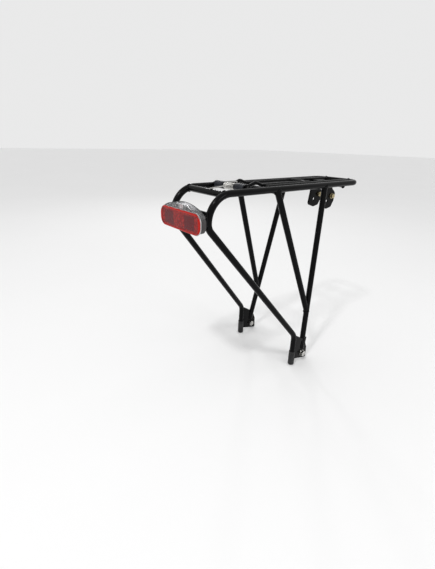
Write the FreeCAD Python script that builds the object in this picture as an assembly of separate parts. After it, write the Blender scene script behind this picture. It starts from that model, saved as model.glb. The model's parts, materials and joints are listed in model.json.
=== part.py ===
"""Rear rack of a bicycle: a welded 10 mm bar frame with a sprung clamp, a front bracket and a rear lamp.

Millimetres. X points forward, Y to the left, Z up. The origin is midway between the two foot bolts.
"""
import FreeCAD
import Part
import math
import os

V = FreeCAD.Vector

# Frame bars
bar_r = 5.0
rail_half_spacing = 44.0
deck_height = 307.0
deck_front = 144.5
front_corner_r = 18.0
upright_x = -206.0
rear_bend_r = 37.0
kink_straight = 7.5
kink_r = 18.0

# Legs, struts and feet
leg_x = -26.8
foot_half_spacing = 72.0
knee_height = 46.5
knee_r = 22.0
leg_bottom = -13.0
leg_cap_wall = 0.85
leg_cap_height = 29.0
leg_cap_floor = 2.5
cap_fit = 0.05
strut_bottom = 11.0
front_strut_top_x = 42.9
front_strut_foot_x = -0.7
middle_strut_top_x = -76.8
strut_joint_height = 83.5
foot_thickness = 4.0
foot_bolt_r = 3.0
foot_hole_clearance = 0.3

# Bars across and along the deck
rear_bar_r = 4.8
rear_bar_ahead = 27.5
cross_bar_r = 4.0
cross_bar_drop = 3.0
middle_bar_x = -78.5
front_bar_x = 43.5
bracket_bar_x = 98.5
inner_rod_r = 3.0
inner_rod_half_spacing = 25.0

# Front bracket
ear_half_spacing = 15.0
ear_thickness = 3.0
ear_bolt_ahead = 10.0
ear_bolt_drop = 26.0
stay_hole_ahead = -2.5
stay_hole_drop = 34.5
stay_hole_r = 3.2
bracket_bolt_r = 2.5
bolt_clearance = 0.25
bolt_end = 1.5

# Spring clamp
hinge_x = -132.5
hinge_rise = 3.3
hinge_rod_r = 3.0
hinge_rod_inset = 3.5
hinge_fit = 0.05
sleeve_wall = 2.7
sleeve_inner_y = 13.0
sleeve_outer_y = 33.0
clip_thickness = 1.2
clip_wall = 2.6
clamp_wire_r = 2.6
clamp_half_width = 18.0
clamp_front_x = 24.0
clamp_corner_r = 12.0
clamp_gap = 0.3
clamp_bar_ahead = 20.5
hump_ahead = 34.5
hump_length = 14.0
hump_rise = 4.8
clamp_bar_r = 2.5
spring_wire_r = 0.9
spring_clearance = 0.4
spring_half_length = 11.4
spring_turns = 12
spring_leg_overhang = 4.0

# Lamp plate and lamp
plate_thickness = 3.0
plate_seat = 1.0
plate_corner_r = 4.0
plate_below = 8.5
plate_above = 12.5
lamp_bolt_half_spacing = 25.0
lamp_bolt_drop = 33.0
lamp_stud_r = 2.5
lamp_stud_clearance = 0.15
lamp_half_width = 50.0
lens_below = 18.7
lens_above = 10.3
lamp_corner_r = 12.0
lens_inset = 1.0
housing_depth = 9.5
lens_depth = 3.0
lamp_wall = 1.8
lens_skin = 2.0
lens_edge_r = 1.6
cover_above = 19.5
cover_side_above = 7.0
cover_side_depth = 6.0
cover_inset = 2.0
cover_wall = 1.5
board_thickness = 1.6
board_inset = 8.0
board_corner_r = 6.0
board_edge_gap = 1.0
board_gap = 2.0
board_post_r = 2.5
board_hole_r = 5.2
board_tab_half_width = 18.0
board_tab_gap = 2.2
slot_fit = 0.2
inlet_r = 2.2
inlet_bore_r = 1.3
inlet_lip = 1.1
inlet_lip_height = 1.2
led_r = 2.6
led_body = 0.6
led_edge = 0.4
bowl_base_r = 3.5
bowl_rim_r = 4.8
bowl_wall = 0.7
bowl_depth = 2.6
diode_r = 1.0
diode_half_spacing = 9.0
diode_drop = 4.0
chip_size = (1.0, 2.4, 3.2)
chip_half_spacing = 11.8
chip_rise = 1.2
prism_size = (1.2, 24.0, 19.0)
prism_inner_y = 14.0
prism_rise = 5.0

# Fasteners: across flats, head height and washer radius for the two thread sizes
m6 = {"flats": 10.0, "head": 4.0, "washer_r": 6.0, "washer": 1.6, "nut": 5.0}
m5 = {"flats": 8.0, "head": 3.5, "washer_r": 5.0, "washer": 1.0, "nut": 4.0}
thread_fit = 0.05


def round_bar(points, bends, radius):
    """A bar of one radius through the points, with an arc of the given bend radius at each inner point."""
    start = V(*points[0])
    pieces = []
    for index in range(1, len(points) - 1):
        corner = V(*points[index])
        back = (V(*points[index - 1]) - corner).normalize()
        ahead = (V(*points[index + 1]) - corner).normalize()
        turn = math.pi - back.getAngle(ahead)
        tangent = bends[index - 1] * math.tan(turn / 2)
        arc_start = corner + back * tangent
        arc_end = corner + ahead * tangent
        centre = corner + (back + ahead).normalize() * (bends[index - 1] / math.cos(turn / 2))
        axis = (arc_start - centre).cross(arc_end - centre).normalize()
        ring = Part.Face(Part.Wire(Part.makeCircle(radius, arc_start, back)))
        pieces.append(Part.makeCylinder(radius, (arc_start - start).Length, start, arc_start - start))
        pieces.append(ring.revolve(centre, axis, math.degrees(turn)))
        start = arc_end
    end = V(*points[-1])
    pieces.append(Part.makeCylinder(radius, (end - start).Length, start, end - start))
    return pieces[0].multiFuse(pieces[1:]) if len(pieces) > 1 else pieces[0]


def rod(start, end, radius):
    """A straight round rod."""
    return round_bar([start, end], [], radius)


def cross_rod(x, y_from, y_to, z, radius):
    """A round rod along Y."""
    return rod((x, y_from, z), (x, y_to, z), radius)


def rounded_face(points, radii, place):
    """A flat face whose corners are rounded; place turns a point (u, v) into a position."""
    corners = [V(u, v, 0) for u, v in points]
    count = len(corners)
    edges = []
    ends = []
    for index, corner in enumerate(corners):
        back = (corners[index - 1] - corner).normalize()
        ahead = (corners[(index + 1) % count] - corner).normalize()
        half = back.getAngle(ahead) / 2
        tangent = radii[index] / math.tan(half)
        middle = corner + (back + ahead).normalize() * (radii[index] / math.sin(half) - radii[index])
        ends.append((corner + back * tangent, middle, corner + ahead * tangent))
    for index, (first, middle, last) in enumerate(ends):
        following = ends[(index + 1) % count][0]
        edges.append(Part.Arc(place(first), place(middle), place(last)).toShape())
        edges.append(Part.LineSegment(place(last), place(following)).toShape())
    return Part.Face(Part.Wire(edges))


def in_xz(y):
    """Puts (u, v) on the upright lengthwise plane at this Y."""
    return lambda point: V(point.x, y, point.y)


def in_yz(x):
    """Puts (u, v) on the upright crosswise plane at this X."""
    return lambda point: V(x, point.x, point.y)


def hexagon(flats, height, centre, axis):
    """A hexagonal prism that starts at the centre and runs along the axis."""
    corner_r = flats / math.sqrt(3)
    side = V(0, 0, 1) if abs(axis.z) < 0.5 else V(1, 0, 0)
    other = axis.cross(side).normalize()
    turns = [math.radians(60 * index) for index in range(7)]
    ring = [centre + side * (corner_r * math.cos(a)) + other * (corner_r * math.sin(a)) for a in turns]
    return Part.Face(Part.makePolygon(ring)).extrude(axis * height)


def tube(outer, inner, length, start, axis):
    """A straight tube, also used for washers."""
    return Part.makeCylinder(outer, length, start, axis).cut(Part.makeCylinder(inner, length, start, axis))


def hex_bolt(size, shank_r, shank, seat, outward):
    """A bolt whose head sits on the seat; its shank runs the other way."""
    head = hexagon(size["flats"], size["head"], seat, outward)
    return head.fuse(Part.makeCylinder(shank_r, shank, seat, outward * -1))


def hex_nut(size, shank_r, seat, outward):
    """A nut that sits on the seat."""
    hole = Part.makeCylinder(shank_r + thread_fit, size["nut"], seat, outward)
    return hexagon(size["flats"], size["nut"], seat, outward).cut(hole)


def mirrored(shape):
    """The mirror image across the middle plane."""
    return shape.mirror(V(0, 0, 0), V(0, 1, 0))


def both_sides(shape):
    """The shape and its mirror image across the middle plane, as two solids of one node."""
    return Part.makeCompound([shape, mirrored(shape)])


def main_solid(shape):
    """The largest solid of a cut, without the slivers left inside a joint."""
    return max(shape.Solids, key=lambda solid: solid.Volume)


nodes = {}


def add_pair(name, left):
    """Keeps a left piece and its mirror image as two nodes."""
    nodes[name + "_left"] = left
    nodes[name + "_right"] = mirrored(left)


# Deck hoop: both rails, the front end and the two rear bends down to the legs
kink_height = deck_height - rear_bend_r - kink_straight
leg_slope = V(leg_x - upright_x, foot_half_spacing - rail_half_spacing, knee_height - kink_height)
kink_turn = leg_slope.getAngle(V(0, 0, -1))
hoop_end = kink_height + kink_r * math.tan(kink_turn / 2)


def hoop_points():
    """The hoop's corners from the left upright round the front to the right one."""
    left = [(upright_x, rail_half_spacing, hoop_end), (upright_x, rail_half_spacing, deck_height)]
    left.append((deck_front, rail_half_spacing, deck_height))
    return left + [(x, -y, z) for x, y, z in reversed(left)]


hoop_bends = [rear_bend_r, front_corner_r, front_corner_r, rear_bend_r]
hoop = round_bar(hoop_points(), hoop_bends, bar_r)
nodes["deck_hoop"] = hoop

# Rear legs, from the hoop down through the knee to the foot, with a cap on each end
leg_points = [
    (upright_x, rail_half_spacing, hoop_end),
    (upright_x, rail_half_spacing, kink_height),
    (leg_x, foot_half_spacing, knee_height),
    (leg_x, foot_half_spacing, leg_bottom),
]


def leg_bar():
    """The left leg: its first bend starts right at the hoop's end."""
    start, kink, knee, end = [V(*point) for point in leg_points]
    slope = (knee - kink).normalize()
    tangent = kink_r * math.tan(kink_turn / 2)
    bend_end = kink + slope * tangent
    inward = (V(0, 0, 1) + slope).normalize()
    centre = kink + inward * (kink_r / math.cos(kink_turn / 2))
    axis = (start - centre).cross(bend_end - centre).normalize()
    ring = Part.Face(Part.Wire(Part.makeCircle(bar_r, start, V(0, 0, 1))))
    bend = ring.revolve(centre, axis, math.degrees(kink_turn))
    return bend.fuse(round_bar([tuple(bend_end), leg_points[2], leg_points[3]], [knee_r], bar_r))


left_leg = leg_bar()
add_pair("rear_leg", left_leg)
leg_cap_r = bar_r + cap_fit + leg_cap_wall
cap_base = V(leg_x, foot_half_spacing, leg_bottom - leg_cap_floor)
cap = Part.makeCylinder(leg_cap_r, leg_cap_height, cap_base)
cap = cap.makeFillet(leg_cap_floor, [edge for edge in cap.Edges if edge.BoundBox.ZMax < leg_bottom])
cap_hole = Part.makeCylinder(bar_r + cap_fit, leg_cap_height, V(leg_x, foot_half_spacing, leg_bottom))

# Bars across the deck, with a saddle where each inner rod crosses
rod_height = deck_height + bar_r - inner_rod_r
cross_height = deck_height - cross_bar_drop
bend_centre = V(upright_x + rear_bend_r, 0, deck_height - rear_bend_r)
rear_bar_x = upright_x + rear_bar_ahead
rear_bar_height = bend_centre.z + math.sqrt(rear_bend_r ** 2 - (rear_bar_x - bend_centre.x) ** 2)
rod_start = (middle_bar_x - cross_bar_r, inner_rod_half_spacing, rod_height)
rod_end = (deck_front, inner_rod_half_spacing, rod_height)
inner_rod = rod(rod_start, rod_end, inner_rod_r)
inner_rod = main_solid(inner_rod.cut(hoop))
add_pair("inner_rod", inner_rod)


def cross_bar(x, z, radius):
    """A bar from rail to rail, notched for the inner rods."""
    bar = cross_rod(x, -rail_half_spacing, rail_half_spacing, z, radius).cut(hoop)
    return main_solid(bar.cut(inner_rod).cut(mirrored(inner_rod)))


nodes["rear_cross_bar"] = cross_bar(rear_bar_x, rear_bar_height, rear_bar_r)
nodes["middle_cross_bar"] = cross_bar(middle_bar_x, cross_height, cross_bar_r)
nodes["front_cross_bar"] = cross_bar(front_bar_x, cross_height, cross_bar_r)
nodes["bracket_cross_bar"] = cross_bar(bracket_bar_x, cross_height, cross_bar_r)

# Struts: each front strut runs to the foot, and each middle strut ends on the front one
front_strut_top = V(front_strut_top_x, rail_half_spacing, deck_height)
front_strut_foot = V(front_strut_foot_x, foot_half_spacing, strut_bottom)
fall = front_strut_foot - front_strut_top
strut_joint = front_strut_top + fall * ((strut_joint_height - deck_height) / fall.z)
level_size = 8 * bar_r
level_cut = Part.makeBox(level_size, level_size, level_size)
level_cut.translate(front_strut_foot - V(level_size / 2, level_size / 2, level_size))
front_strut = rod(front_strut_top, front_strut_foot + fall * (bar_r / fall.Length), bar_r)
front_strut = front_strut.cut(hoop).cut(nodes["front_cross_bar"]).cut(level_cut)
middle_strut_top = V(middle_strut_top_x, rail_half_spacing, deck_height)
middle_strut = rod(middle_strut_top, strut_joint, bar_r).cut(hoop).cut(nodes["middle_cross_bar"])
middle_strut = middle_strut.cut(rod(front_strut_top, front_strut_foot, bar_r))
front_strut = main_solid(front_strut)
add_pair("front_strut", front_strut)
add_pair("middle_strut", main_solid(middle_strut))

# Feet: a plate between the leg and the strut, with the bolt hole at the origin's height
foot_outline = [
    (leg_x, knee_height - 2.5),
    (leg_x + 9.5, knee_height - 4.5),
    (front_strut_foot_x + 5, 28),
    (front_strut_foot_x + 13.7, 9),
    (front_strut_foot_x + 14.7, -14.5),
    (front_strut_foot_x - 1.3, -10.5),
    (leg_x, leg_bottom + 9.5),
]
foot_inner_y = foot_half_spacing - foot_thickness / 2
foot_outer_y = foot_half_spacing + foot_thickness / 2
foot = rounded_face(foot_outline, [2, 3, 3, 4, 2, 3, 2], in_xz(foot_inner_y)).extrude(V(0, foot_thickness, 0))
foot = foot.cut(left_leg).cut(cap).cut(front_strut)
foot_hole_r = foot_bolt_r + foot_hole_clearance
foot = foot.cut(Part.makeCylinder(foot_hole_r, foot_thickness, V(0, foot_inner_y, 0), V(0, 1, 0)))
add_pair("foot", main_solid(foot))
add_pair("leg_cap", cap.cut(cap_hole))

foot_bolt_shank = m6["washer"] + foot_thickness + m6["nut"] + bolt_end
head_seat = V(0, foot_outer_y + m6["washer"], 0)
foot_bolt = hex_bolt(m6, foot_bolt_r, foot_bolt_shank, head_seat, V(0, 1, 0))
foot_washer = tube(m6["washer_r"], foot_bolt_r + thread_fit, m6["washer"], V(0, foot_outer_y, 0), V(0, 1, 0))
foot_nut = hex_nut(m6, foot_bolt_r, V(0, foot_inner_y, 0), V(0, -1, 0))
nodes["foot_bolts"] = both_sides(foot_bolt)
nodes["foot_washers"] = both_sides(foot_washer)
nodes["foot_nuts"] = both_sides(foot_nut)

# Front bracket: two ears on the bracket bar, each with its bolt and a hole for a stay
ear_bolt_x = bracket_bar_x + ear_bolt_ahead
ear_bolt_height = deck_height - ear_bolt_drop
stay_hole_x = bracket_bar_x + stay_hole_ahead
stay_hole_height = deck_height - stay_hole_drop
ear_outline = [
    (bracket_bar_x - 12.5, cross_height),
    (bracket_bar_x + 8.5, cross_height),
    (bracket_bar_x + 9, ear_bolt_height + 14),
    (ear_bolt_x + 10.5, ear_bolt_height + 5),
    (ear_bolt_x + 8.5, ear_bolt_height - 9),
    (ear_bolt_x + 1.5, stay_hole_height - 12.5),
    (stay_hole_x, stay_hole_height - 15),
    (stay_hole_x - 16, stay_hole_height - 9.5),
]
ear_inner_y = ear_half_spacing - ear_thickness / 2
ear_outer_y = ear_half_spacing + ear_thickness / 2
ear = rounded_face(ear_outline, [3, 3, 5, 6, 6, 5, 6, 6], in_xz(ear_inner_y)).extrude(V(0, ear_thickness, 0))
ear = ear.cut(cross_rod(bracket_bar_x, 0, rail_half_spacing, cross_height, cross_bar_r))
for hole_x, hole_z, hole_r in [
    (ear_bolt_x, ear_bolt_height, bracket_bolt_r + bolt_clearance),
    (stay_hole_x, stay_hole_height, stay_hole_r),
]:
    ear = ear.cut(Part.makeCylinder(hole_r, ear_thickness, V(hole_x, ear_inner_y, hole_z), V(0, 1, 0)))
add_pair("bracket_ear", main_solid(ear))

ear_seat = V(ear_bolt_x, ear_outer_y, ear_bolt_height)
ear_inside = V(ear_bolt_x, ear_inner_y, ear_bolt_height)
ear_head = ear_seat + V(0, m5["washer"], 0)
ear_shank = m5["washer"] + ear_thickness + m5["nut"] + bolt_end
ear_washer = tube(m5["washer_r"], bracket_bolt_r + thread_fit, m5["washer"], ear_seat, V(0, 1, 0))
ear_bolt = hex_bolt(m5, bracket_bolt_r, ear_shank, ear_head, V(0, 1, 0))
ear_nut = hex_nut(m5, bracket_bolt_r, ear_inside, V(0, -1, 0))
nodes["bracket_bolts"] = both_sides(ear_bolt)
nodes["bracket_washers"] = both_sides(ear_washer)
nodes["bracket_nuts"] = both_sides(ear_nut)

# Spring clamp: a fixed hinge rod with two clips, and a wire loop on two sleeves that turn on the rod
hinge_height = deck_height + hinge_rise
hinge_reach = rail_half_spacing - hinge_rod_inset
sleeve_bore_r = hinge_rod_r + hinge_fit
sleeve_r = sleeve_bore_r + sleeve_wall
hinge_rod = cross_rod(hinge_x, -hinge_reach, hinge_reach, hinge_height, hinge_rod_r).cut(hoop)
nodes["hinge_rod"] = main_solid(hinge_rod)
sleeve_start = V(hinge_x, sleeve_inner_y, hinge_height)
sleeve_length = sleeve_outer_y - sleeve_inner_y
sleeve_body = Part.makeCylinder(sleeve_r, sleeve_length, sleeve_start, V(0, 1, 0))
add_pair("clamp_sleeve", tube(sleeve_r, sleeve_bore_r, sleeve_length, sleeve_start, V(0, 1, 0)))
clip_start = V(hinge_x, sleeve_outer_y + clamp_gap, hinge_height)
clip = tube(hinge_rod_r + clip_wall, hinge_rod_r, clip_thickness, clip_start, V(0, 1, 0))
nodes["hinge_clips"] = both_sides(clip)

wire_height = cross_height + cross_bar_r + clamp_gap + clamp_wire_r
clamp_bar_x = hinge_x + clamp_bar_ahead
hump_x = hinge_x + hump_ahead
half_loop = [
    (hinge_x, clamp_half_width, hinge_height),
    (clamp_bar_x, clamp_half_width, wire_height),
    (hump_x, clamp_half_width, wire_height + hump_rise),
    (hump_x + hump_length, clamp_half_width, wire_height),
    (clamp_front_x, clamp_half_width, wire_height),
]
half_bends = [15, 7, 12, clamp_corner_r]
loop = round_bar(
    half_loop + [(x, -y, z) for x, y, z in reversed(half_loop)],
    half_bends + half_bends[::-1],
    clamp_wire_r,
)
loop = main_solid(loop.cut(sleeve_body).cut(mirrored(sleeve_body)))
nodes["clamp_loop"] = loop
clamp_bar_height = hinge_height + hinge_rod_r + spring_clearance - clamp_gap - clamp_bar_r
clamp_bar = cross_rod(clamp_bar_x, -clamp_half_width, clamp_half_width, clamp_bar_height, clamp_bar_r)
nodes["clamp_cross_bar"] = main_solid(clamp_bar.cut(loop))


def torsion_spring():
    """A coil on the hinge rod; its legs leave along the wire, over the clamp's bar and the rear cross bar."""
    coil_r = hinge_rod_r + spring_clearance + spring_wire_r
    pitch = 2 * spring_half_length / spring_turns
    lean = pitch / (2 * math.pi * coil_r)
    reach = hinge_x - rear_bar_x
    fall = hinge_height + coil_r - rear_bar_height - rear_bar_r - spring_wire_r
    drop = math.atan(fall / reach)
    length = pitch * (spring_turns + drop / (2 * math.pi))
    front_way = V(0, -1, -lean).normalize()
    front_point = V(coil_r, 0, 0)
    rear_way = V(-math.sin(drop), math.cos(drop), lean).normalize()
    rear_point = V(coil_r * math.cos(drop), coil_r * math.sin(drop), length)
    coil = Part.Wire(Part.makeHelix(pitch, length, coil_r).Edges)
    section = Part.Wire(Part.makeCircle(spring_wire_r, front_point, front_way))
    winding = coil.makePipeShell([section], True, True)
    front = Part.makeCylinder(spring_wire_r, clamp_bar_ahead + spring_leg_overhang, front_point, front_way)
    rear = Part.makeCylinder(spring_wire_r, reach + spring_leg_overhang, rear_point, rear_way)
    whole = winding.multiFuse([front, rear])
    turn = FreeCAD.Rotation(V(0, 0, 1), V(-1, 0, 0), V(0, -1, 0), "XYZ")
    whole.Placement = FreeCAD.Placement(V(hinge_x, spring_half_length, hinge_height), turn)
    return whole


nodes["clamp_spring"] = torsion_spring()

# Lamp plate on the two uprights, with two holes for the lamp's studs
plate_front = upright_x - bar_r + plate_seat
plate_back = plate_front - plate_thickness
plate_half_width = rail_half_spacing + bar_r
lamp_bolt_height = deck_height - lamp_bolt_drop
plate_bottom = lamp_bolt_height - plate_below
plate_top = lamp_bolt_height + plate_above
stud_hole_r = lamp_stud_r + lamp_stud_clearance


def upright_rectangle(half_width, low, high, corner_r, x_from, x_to):
    """A block across the middle plane, its four corners rounded, from one X to another."""
    outline = [(-half_width, low), (half_width, low), (half_width, high), (-half_width, high)]
    return rounded_face(outline, [corner_r] * 4, in_yz(x_from)).extrude(V(x_to - x_from, 0, 0))


def stud_rods(radius, x_from, x_to):
    """A round rod on each of the lamp's two stud axes, as two solids."""
    place = V(x_from, lamp_bolt_half_spacing, lamp_bolt_height)
    return both_sides(Part.makeCylinder(radius, abs(x_to - x_from), place, V(x_to - x_from, 0, 0)))


plate = upright_rectangle(plate_half_width, plate_bottom, plate_top, plate_corner_r, plate_back, plate_front)
plate = plate.cut(stud_rods(stud_hole_r, plate_back, plate_front))
nodes["lamp_plate"] = plate.cut(hoop).cut(left_leg).cut(mirrored(left_leg))

# Lamp: dark housing, red lens in front of it and a clear cover along the top
housing_front = plate_back - housing_depth
housing_floor = plate_back - lamp_wall
lens_front = housing_front - lens_depth
lens_bottom = lamp_bolt_height - lens_below
lens_top = lamp_bolt_height + lens_above


def lamp_block(inset, x_from, x_to):
    """A block with the lamp's rounded outline below its cover, drawn in by the inset."""
    half_width = lamp_half_width - inset
    corner_r = lamp_corner_r - inset
    return upright_rectangle(half_width, lens_bottom + inset, lens_top - inset, corner_r, x_from, x_to)


board_back = housing_floor - board_gap
board_front = board_back - board_thickness
board_half_width = lamp_half_width - board_inset
housing = lamp_block(lens_inset, plate_back, housing_front)
housing = housing.cut(lamp_block(lens_inset + lamp_wall, housing_floor, housing_front))
slot = Part.makeBox(board_thickness + 2 * slot_fit, 2 * (board_tab_half_width + slot_fit), 2 * lamp_wall)
slot.translate(V(board_front - slot_fit, -board_tab_half_width - slot_fit, lens_top - 2 * lamp_wall))
housing = housing.cut(slot)
post_place = V(housing_floor, board_half_width - 2 * board_post_r, lamp_bolt_height)
housing = housing.fuse(both_sides(Part.makeCylinder(board_post_r, board_gap, post_place, V(-1, 0, 0))))
housing = housing.cut(stud_rods(stud_hole_r, plate_back, housing_floor))
inlet_height = (lens_bottom + lens_inset + plate_bottom) / 2
inlet_start = V(housing_floor, 0, inlet_height)
inlet_body = Part.makeCylinder(inlet_r, lamp_wall, inlet_start, V(1, 0, 0))
nodes["lamp_housing"] = main_solid(housing.cut(inlet_body))

inlet_lip_start = V(plate_back, 0, inlet_height)
inlet = inlet_body.fuse(Part.makeCylinder(inlet_r + inlet_lip, inlet_lip_height, inlet_lip_start, V(1, 0, 0)))
inlet = inlet.cut(Part.makeCylinder(inlet_bore_r, lamp_wall + inlet_lip_height, inlet_start, V(1, 0, 0)))
nodes["lamp_inlet"] = inlet

lens = lamp_block(0, housing_front, lens_front)
lens_rim = [edge for edge in lens.Edges if edge.BoundBox.XMax < (lens_front + housing_front) / 2]
lens = lens.makeFillet(lens_edge_r, lens_rim)
lens = lens.cut(lamp_block(lens_inset + lamp_wall, housing_front, lens_front + lens_skin))
nodes["lamp_lens"] = lens

cover_half_width = lamp_half_width - cover_inset
cover_top = lamp_bolt_height + cover_above
cover_side_height = lamp_bolt_height + cover_side_above
cover_front = lens_front + lens_edge_r


def cover_block(drop, x_from, x_to):
    """A block under the cover's arch, lowered by drop, that ends below the lamp's top corners."""
    left = V(x_from, -cover_half_width, cover_side_height - drop)
    top = V(x_from, 0, cover_top - drop)
    right = V(x_from, cover_half_width, cover_side_height - drop)
    low_right = V(x_from, cover_half_width, cover_side_height - cover_side_depth)
    low_left = V(x_from, -cover_half_width, cover_side_height - cover_side_depth)
    arch = Part.Arc(left, top, right).toShape()
    straight = Part.makePolygon([right, low_right, low_left, left])
    return Part.Face(Part.Wire([arch] + straight.Edges)).extrude(V(x_to - x_from, 0, 0))


cover = cover_block(0, plate_back, cover_front).cut(lamp_block(lens_inset, plate_back, housing_front))
cover = cover.cut(lamp_block(0, housing_front, lens_front))
above = Part.makeBox(plate_back - lens_front, 2 * cover_half_width, cover_top - lens_top)
above.translate(V(lens_front, -cover_half_width, lens_top - lens_inset))
inside = cover_block(cover_wall, plate_back - cover_wall, cover_front + cover_wall).common(above)
inside = inside.cut(lamp_block(0, housing_front, lens_front))
nodes["lamp_cover"] = main_solid(cover.cut(inside))

# Inside the lamp: the board with its lights, the bowl round the main one, and the prisms behind the lens
board_low = lens_bottom + lens_inset + lamp_wall + board_edge_gap
board_high = lens_top - lens_inset - lamp_wall - board_edge_gap
board = upright_rectangle(board_half_width, board_low, board_high, board_corner_r, board_front, board_back)
tab_top = cover_top - cover_wall - board_tab_gap
tab = Part.makeBox(board_thickness, 2 * board_tab_half_width, tab_top - lamp_bolt_height)
tab.translate(V(board_front, -board_tab_half_width, lamp_bolt_height))
board = board.fuse(tab).cut(stud_rods(board_hole_r, board_front, board_back))
nodes["lamp_board"] = board.removeSplitter()


def dome(y, z, radius, body):
    """A round light that points backward from the board: a short cylinder with a dome on it."""
    base = Part.makeCylinder(radius, body, V(board_front, y, z), V(-1, 0, 0))
    return base.fuse(Part.makeSphere(radius, V(board_front - body, y, z), V(-1, 0, 0), 0, 90, 360))


led_height = tab_top - led_r - led_edge
nodes["lamp_led"] = dome(0, led_height, led_r, led_body)
bowl_place = V(board_front, 0, led_height)
bowl = Part.makeCone(bowl_base_r, bowl_rim_r, bowl_depth, bowl_place, V(-1, 0, 0))
hollow = Part.makeCone(bowl_base_r - bowl_wall, bowl_rim_r - bowl_wall, bowl_depth, bowl_place, V(-1, 0, 0))
bowl_room = Part.makeBox(bowl_depth, 2 * bowl_rim_r, 2 * bowl_rim_r)
bowl_room.translate(V(board_front - bowl_depth, -bowl_rim_r, lens_top - lens_inset + slot_fit))
nodes["lamp_reflector"] = bowl.cut(hollow).common(bowl_room)
nodes["lamp_diodes"] = both_sides(dome(diode_half_spacing, lamp_bolt_height - diode_drop, diode_r, led_body))
chip = Part.makeBox(*chip_size)
chip.translate(V(board_front - chip_size[0], chip_half_spacing, lens_top + chip_rise))
nodes["lamp_chips"] = both_sides(chip)
prism = Part.makeBox(*prism_size)
prism.translate(V(lens_front + lens_skin, prism_inner_y, lens_bottom + prism_rise))
nodes["lamp_prisms"] = both_sides(prism)

# Studs, washers and nuts that hold the lamp on its plate; a stud's head fills the gap under the board
stud_length = lamp_wall + plate_thickness + m5["washer"] + m5["nut"] + bolt_end
stud_size = {"flats": m5["flats"], "head": board_gap}
stud_seat = V(housing_floor, lamp_bolt_half_spacing, lamp_bolt_height)
washer_seat = V(plate_front, lamp_bolt_half_spacing, lamp_bolt_height)
nut_seat = washer_seat + V(m5["washer"], 0, 0)
stud_washer = tube(m5["washer_r"], lamp_stud_r + thread_fit, m5["washer"], washer_seat, V(1, 0, 0))
nodes["lamp_studs"] = both_sides(hex_bolt(stud_size, lamp_stud_r, stud_length, stud_seat, V(-1, 0, 0)))
nodes["lamp_washers"] = both_sides(stud_washer)
nodes["lamp_nuts"] = both_sides(hex_nut(m5, lamp_stud_r, nut_seat, V(1, 0, 0)))

os.makedirs("parts", exist_ok=True)
for name, shape in nodes.items():
    if not shape.isValid():
        raise ValueError(name + " is not a valid shape")
    shape.exportStep("parts/" + name + ".step")
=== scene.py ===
"""The looks of a bicycle's rear rack: enamelled bars, weld beads, plated fasteners, clamp and lamp.

Everything is in metres in the rack's own frame: X forward, Y to the left, Z up.
"""

import json
import math

import bpy
import numpy as np
from mathutils import Matrix, Vector


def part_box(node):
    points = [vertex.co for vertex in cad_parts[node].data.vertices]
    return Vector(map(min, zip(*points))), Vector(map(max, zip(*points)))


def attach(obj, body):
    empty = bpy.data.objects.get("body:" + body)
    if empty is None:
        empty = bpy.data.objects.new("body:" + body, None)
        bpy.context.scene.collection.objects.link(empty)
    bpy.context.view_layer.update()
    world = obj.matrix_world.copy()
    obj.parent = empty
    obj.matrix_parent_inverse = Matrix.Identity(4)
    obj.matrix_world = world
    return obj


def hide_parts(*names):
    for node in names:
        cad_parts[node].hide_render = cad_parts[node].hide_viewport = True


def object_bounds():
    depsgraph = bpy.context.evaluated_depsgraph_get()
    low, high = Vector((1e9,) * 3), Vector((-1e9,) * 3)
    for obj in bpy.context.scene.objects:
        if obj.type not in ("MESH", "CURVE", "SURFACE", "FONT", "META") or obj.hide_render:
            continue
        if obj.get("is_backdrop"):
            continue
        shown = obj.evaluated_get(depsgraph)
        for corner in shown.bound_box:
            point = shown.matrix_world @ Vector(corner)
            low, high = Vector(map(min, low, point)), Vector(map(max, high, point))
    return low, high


bl_info = {
    "name": "Rear rack looks",
    "version": (1, 0, 0),
    "blender": (4, 5, 0),
    "location": "View3D > Sidebar > Rack",
    "description": "Finishes a bicycle's rear rack: enamel, weld beads, fasteners, clamp, lamp and stage",
    "category": "Object",
}

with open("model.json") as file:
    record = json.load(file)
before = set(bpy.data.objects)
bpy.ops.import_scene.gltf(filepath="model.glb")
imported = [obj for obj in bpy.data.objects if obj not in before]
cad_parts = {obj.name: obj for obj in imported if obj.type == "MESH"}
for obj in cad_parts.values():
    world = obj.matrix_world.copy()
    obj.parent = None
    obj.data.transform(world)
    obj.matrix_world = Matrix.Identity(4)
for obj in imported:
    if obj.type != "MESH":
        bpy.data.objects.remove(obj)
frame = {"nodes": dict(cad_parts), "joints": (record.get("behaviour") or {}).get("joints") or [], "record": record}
cad_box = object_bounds()

MM = 0.001
FINISH = "_finish"
FULL_TURN = 2 * math.pi
X_AXIS = np.array([1.0, 0.0, 0.0])
Y_AXIS = np.array([0.0, 1.0, 0.0])
Z_AXIS = np.array([0.0, 0.0, 1.0])
MOUNTS = {mount["name"]: mount for mount in frame["record"]["mounts"]}
SIDES = {"left": 1.0, "right": -1.0}
CROSS_BARS = ("middle_cross_bar", "front_cross_bar", "bracket_cross_bar")

# Finding a straight bar: rounds of the fit, and how far from square a side face's normal may stand
FIT_ROUNDS = 4
SQUARE_ENOUGH = 0.02

# Weld beads: depth of the ripple and bluntness of the ends, and sizes as shares of the full bead
RIPPLE_DEPTH = 0.16
TAPER_POWER = 8
TAPER_LEAST = 0.02
ROD_SHARE = 0.7
TACK_SHARE = 0.55
EDGE_SHARE = 0.8
TACK_HALF_ANGLE = 0.75
EAR_OVERRUN = 0.12
STRUT_BEAD_TOPS = {-1: 0.72, 1: 0.5}

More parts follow.
